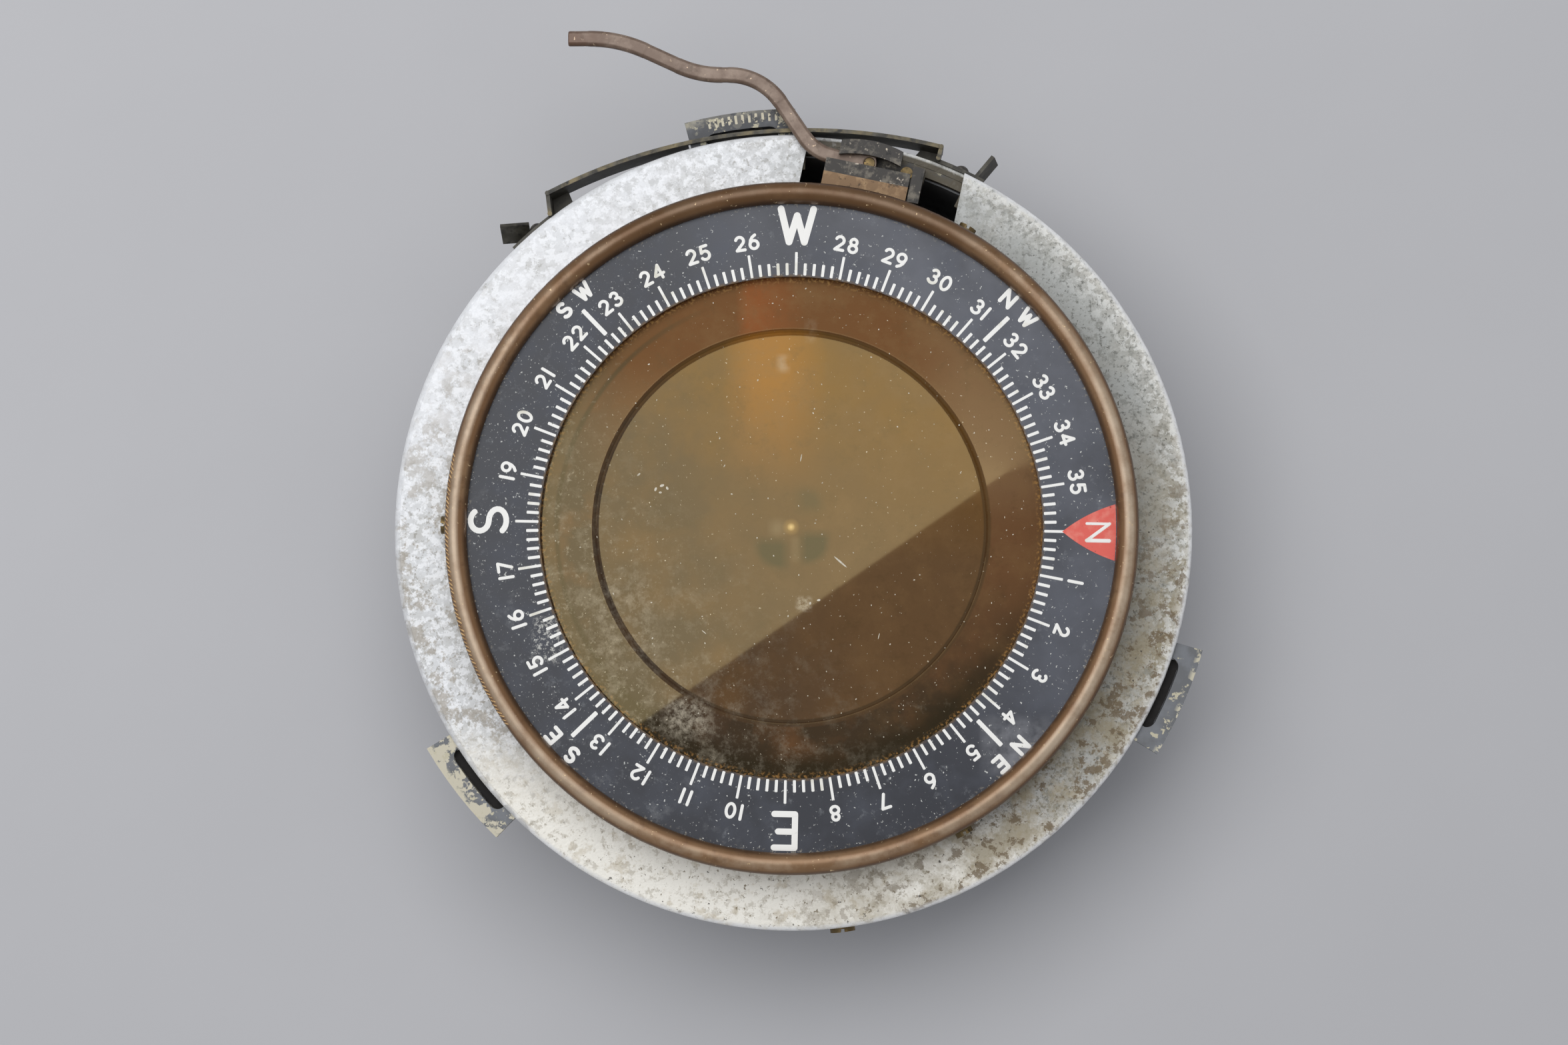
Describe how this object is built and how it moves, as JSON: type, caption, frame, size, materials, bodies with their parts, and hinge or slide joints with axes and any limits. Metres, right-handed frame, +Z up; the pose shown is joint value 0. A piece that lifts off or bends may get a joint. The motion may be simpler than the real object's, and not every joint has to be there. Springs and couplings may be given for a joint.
{
  "type": "aircraft compass",
  "caption": "Round aircraft compass with a turning bearing ring over a liquid bowl, a pivoted magnet system, slotted mounting lugs and a cam lever that clamps the ring.",
  "frame": {"origin": "centre of the flat underside of the case, on the compass axis", "axes": "+Z up along the compass axis, +Y towards the ring clamp side, +X towards the north mark of the ring at rest"},
  "size_m": [0.1542, 0.1732, 0.0512],
  "materials": {
    "case_paint": "worn grey paint",
    "cover_paint": "corroded pale grey paint",
    "lug_paint": "worn grey paint on brass",
    "bezel_brass": "brown patina",
    "brass": "tarnished",
    "dial_enamel": "matt black enamel",
    "amber_glass": "polished, amber",
    "seal_rubber": "matt",
    "pad_rubber": "matt",
    "steel": "bright",
    "magnet_steel": "dark",
    "lever_brass": "worn brown lacquer",
    "clamp_black": "worn black paint",
    "shoe_brass": "tarnished",
    "strip_brass": "dark patina",
    "jewel": "polished"
  },
  "bodies": {
    "case": {"outer_case": "case_paint", "case_pad": "pad_rubber", "bowl_screws": "brass", "mounting_ring": "lug_paint", "cover_flange": "cover_paint", "cover_screws": "brass", "spring_strip": "strip_brass", "strip_rivets": "strip_brass", "bowl": "brass", "glass_seal": "seal_rubber", "bowl_glass": "amber_glass", "glass_retainer": "brass", "filler_plug": "brass", "filler_washer": "seal_rubber", "expansion_diaphragm": "brass", "diaphragm_clamp": "brass", "diaphragm_screws": "brass", "pivot_bridge": "brass", "bridge_screws": "brass", "pivot_post": "brass", "pivot_needle": "steel", "clamp_bracket": "clamp_black", "bracket_rivets": "clamp_black", "lever_pin": "brass"},
    "bearing_ring": {"ring_skirt": "bezel_brass", "dial_plate": "dial_enamel", "bezel": "bezel_brass", "guide_screws": "brass"},
    "magnet_system": {"magnet_hub": "brass", "pivot_jewel": "jewel", "bar_magnets": "magnet_steel", "damping_wires": "brass"},
    "clamp_lever": {"clamp_lever": "lever_brass"},
    "brake_shoe": {"shoe_holder": "clamp_black", "shoe_pad": "shoe_brass", "shoe_pins": "shoe_brass"}
  },
  "joints": [
    {"name": "ring_turn", "type": "hinge", "parent": "case", "child": "bearing_ring", "pos_m": [0, 0, 0.0454], "axis": [0, 0, 1], "continuous": true},
    {"name": "magnet_turn", "type": "hinge", "parent": "case", "child": "magnet_system", "pos_m": [0, 0, 0.0331], "axis": [0, 0, 1], "continuous": true},
    {"name": "lever_swing", "type": "hinge", "parent": "case", "child": "clamp_lever", "pos_m": [0.01489, 0.07004, 0.0412], "axis": [0, 0, 1], "range_deg": [0, 15]},
    {"name": "shoe_slide", "type": "slide", "parent": "case", "child": "brake_shoe", "axis": [-0.2079, -0.9781, 0], "range_m": [0, 0.00027]}
  ],
  "couplings": [
    {"joint": "shoe_slide", "follows": "lever_swing", "m_per_rad": 0.001}
  ]
}
